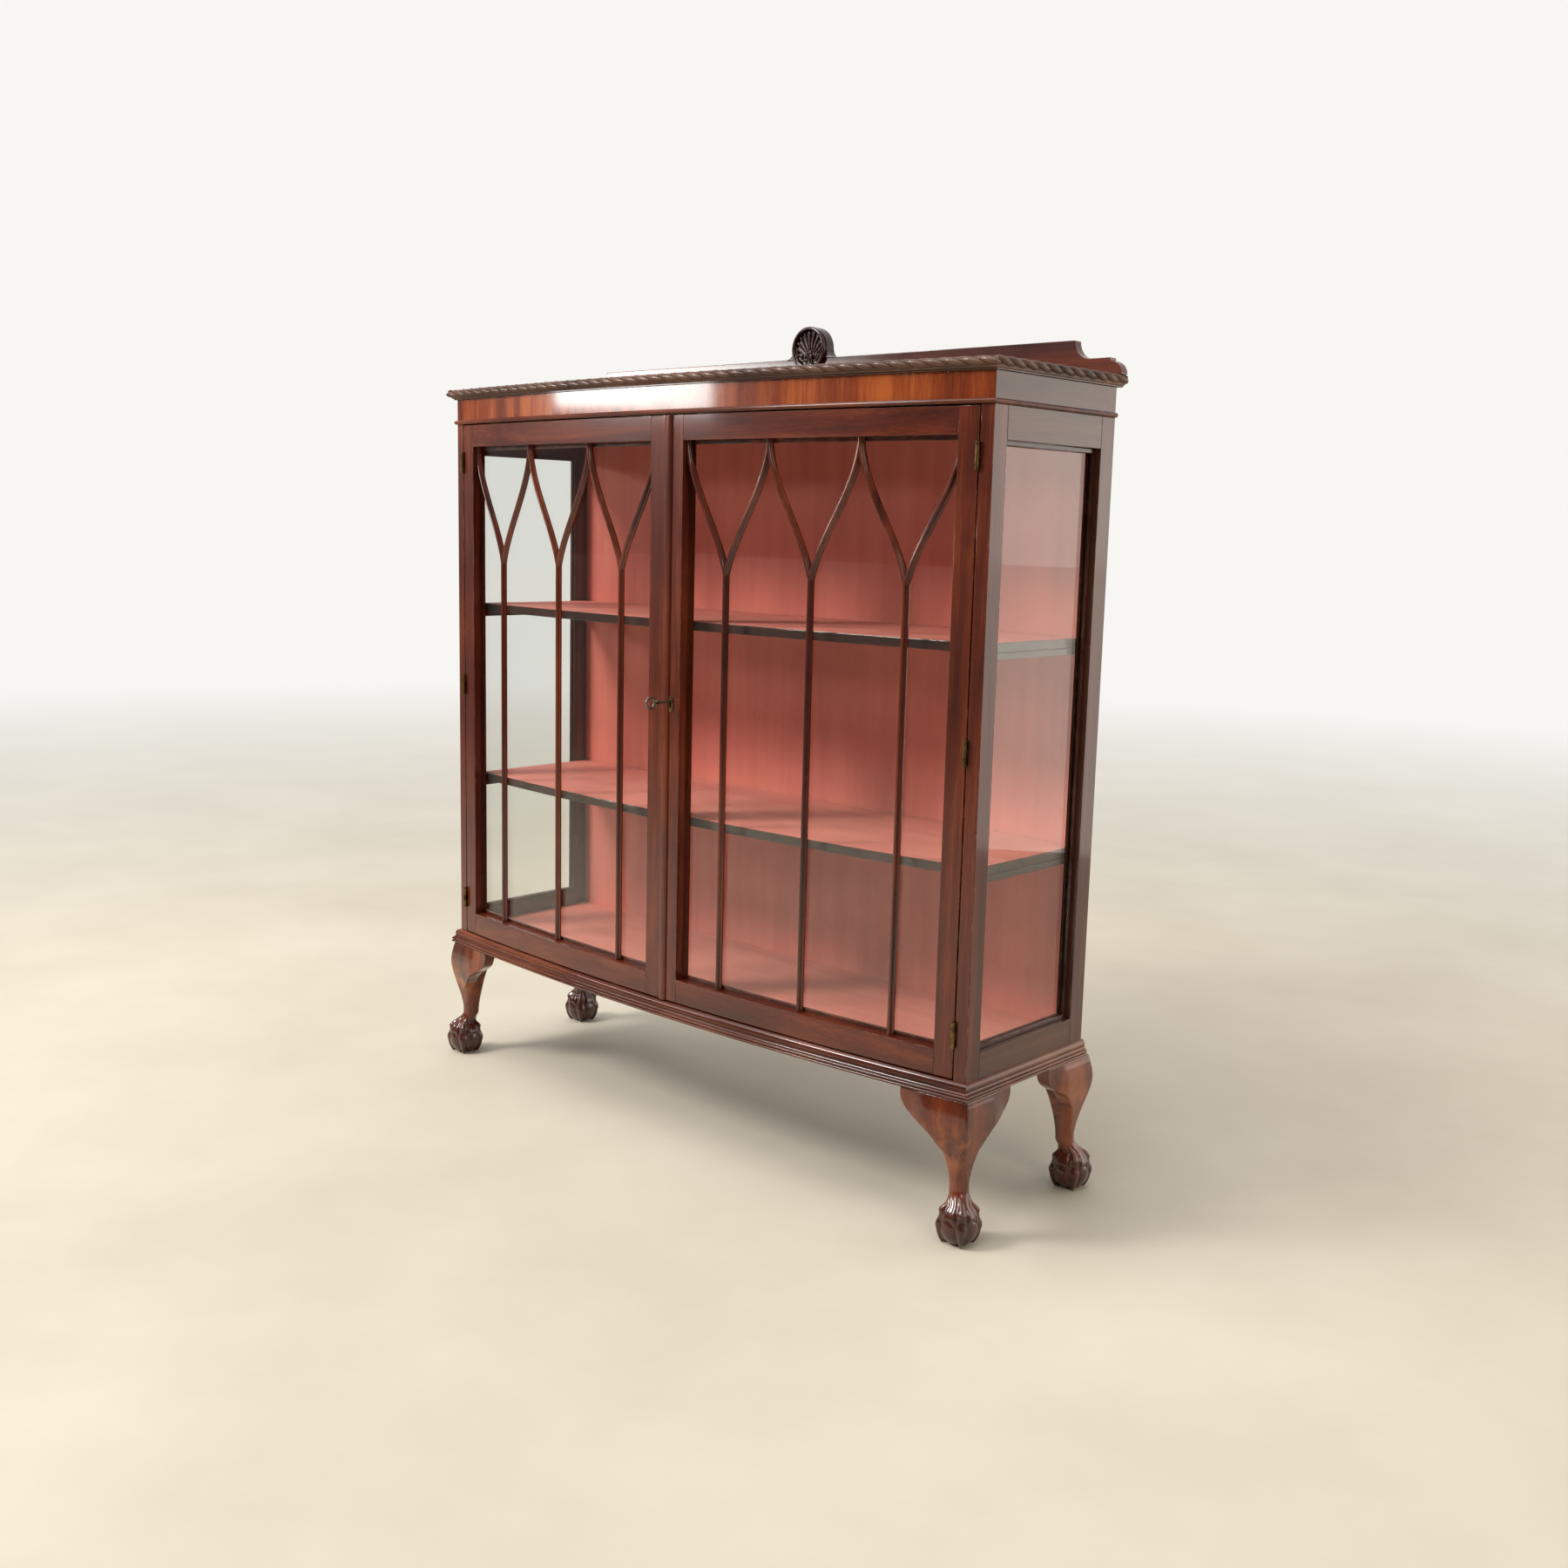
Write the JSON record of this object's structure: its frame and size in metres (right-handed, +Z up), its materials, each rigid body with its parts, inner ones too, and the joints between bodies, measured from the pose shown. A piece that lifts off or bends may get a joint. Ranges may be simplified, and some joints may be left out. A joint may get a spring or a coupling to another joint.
{
  "type": "bow-fronted china cabinet",
  "caption": "Bow-fronted display cabinet with two glazed doors behind forked bars, shelves, rope-edged top, low gallery and claw-and-ball legs.",
  "frame": {"origin": "on the floor, under the middle of the whole object's box, key included", "axes": "+X to the cabinet's right as seen from the front, -Y out of the bowed front, +Z up"},
  "size_m": [1.2288, 0.4124, 1.3345],
  "materials": {
    "dark_mahogany": "old dark polish, glossy, rubbed on the edges",
    "red_mahogany": "glossy red-brown french polish",
    "veneer": "glossy cross-grain veneer",
    "leg_mahogany": "worn glossy polish",
    "coral_lining": "faded salmon-coloured stain, satin",
    "shelf_wood": "faded satin top with a darker edge",
    "pane": "clear window glass",
    "old_brass": "tarnished",
    "steel": "worn bright steel"
  },
  "bodies": {
    "cabinet": {"leg_front_left": "leg_mahogany", "leg_front_right": "leg_mahogany", "leg_back_left": "leg_mahogany", "leg_back_right": "leg_mahogany", "knee_brackets": "leg_mahogany", "base_rail_front": "dark_mahogany", "base_rail_back": "dark_mahogany", "side_rail_bottom_left": "dark_mahogany", "side_rail_bottom_right": "dark_mahogany", "side_rail_top_left": "dark_mahogany", "side_rail_top_right": "dark_mahogany", "bottom_board": "coral_lining", "base_moulding": "red_mahogany", "post_front_left": "red_mahogany", "post_front_right": "red_mahogany", "post_back_left": "dark_mahogany", "post_back_right": "dark_mahogany", "side_glass_left": "pane", "side_glass_right": "pane", "side_glazing_beads": "dark_mahogany", "frieze_front": "veneer", "frieze_left": "dark_mahogany", "frieze_right": "dark_mahogany", "top_rail_back": "dark_mahogany", "cock_bead": "red_mahogany", "ceiling_board": "dark_mahogany", "top_board": "dark_mahogany", "rope_moulding": "dark_mahogany", "back_boards": "coral_lining", "gallery_board": "red_mahogany", "shell_crest": "dark_mahogany", "shelf_lower": "shelf_wood", "shelf_upper": "shelf_wood", "shelf_cleats": "dark_mahogany", "post_hinge_leaves": "old_brass", "hinge_pins": "steel"},
    "right_door": {"right_door_hinge_stile": "red_mahogany", "right_door_meeting_stile": "red_mahogany", "right_door_top_rail": "red_mahogany", "right_door_bottom_rail": "red_mahogany", "right_door_glass": "pane", "right_door_glazing_beads": "red_mahogany", "right_door_tracery": "red_mahogany", "right_door_hinge_leaves": "old_brass", "astragal": "red_mahogany", "lock_case": "steel", "escutcheon": "old_brass"},
    "left_door": {"left_door_hinge_stile": "red_mahogany", "left_door_meeting_stile": "red_mahogany", "left_door_top_rail": "red_mahogany", "left_door_bottom_rail": "red_mahogany", "left_door_glass": "pane", "left_door_glazing_beads": "red_mahogany", "left_door_tracery": "red_mahogany", "left_door_hinge_leaves": "old_brass"},
    "key": {"key": "steel"},
    "lock_bolt": {"lock_bolt": "old_brass"},
    "flush_bolt_top": {"flush_bolt_top": "old_brass"},
    "flush_bolt_bottom": {"flush_bolt_bottom": "old_brass"}
  },
  "joints": [
    {"name": "right_door_swing", "type": "hinge", "parent": "cabinet", "child": "right_door", "pos_m": [0.5684, -0.12239, 0.704], "axis": [0, 0, 1], "range_deg": [0, 110]},
    {"name": "left_door_swing", "type": "hinge", "parent": "cabinet", "child": "left_door", "pos_m": [-0.5684, -0.12239, 0.704], "axis": [0, 0, -1], "range_deg": [0, 110]},
    {"name": "key_turn", "type": "hinge", "parent": "right_door", "child": "key", "pos_m": [0.016, -0.15224, 0.727], "axis": [0, 1, 0], "range_deg": [0, 90]},
    {"name": "lock_bolt_slide", "type": "slide", "parent": "right_door", "child": "lock_bolt", "axis": [-1, 0, 0], "range_m": [0, 0.005]},
    {"name": "flush_bolt_top_slide", "type": "slide", "parent": "left_door", "child": "flush_bolt_top", "axis": [0, 0, 1], "range_m": [0, 0.008]},
    {"name": "flush_bolt_bottom_slide", "type": "slide", "parent": "left_door", "child": "flush_bolt_bottom", "axis": [0, 0, -1], "range_m": [0, 0.008]}
  ],
  "couplings": [
    {"joint": "lock_bolt_slide", "follows": "key_turn", "m_per_rad": 0.00318}
  ]
}
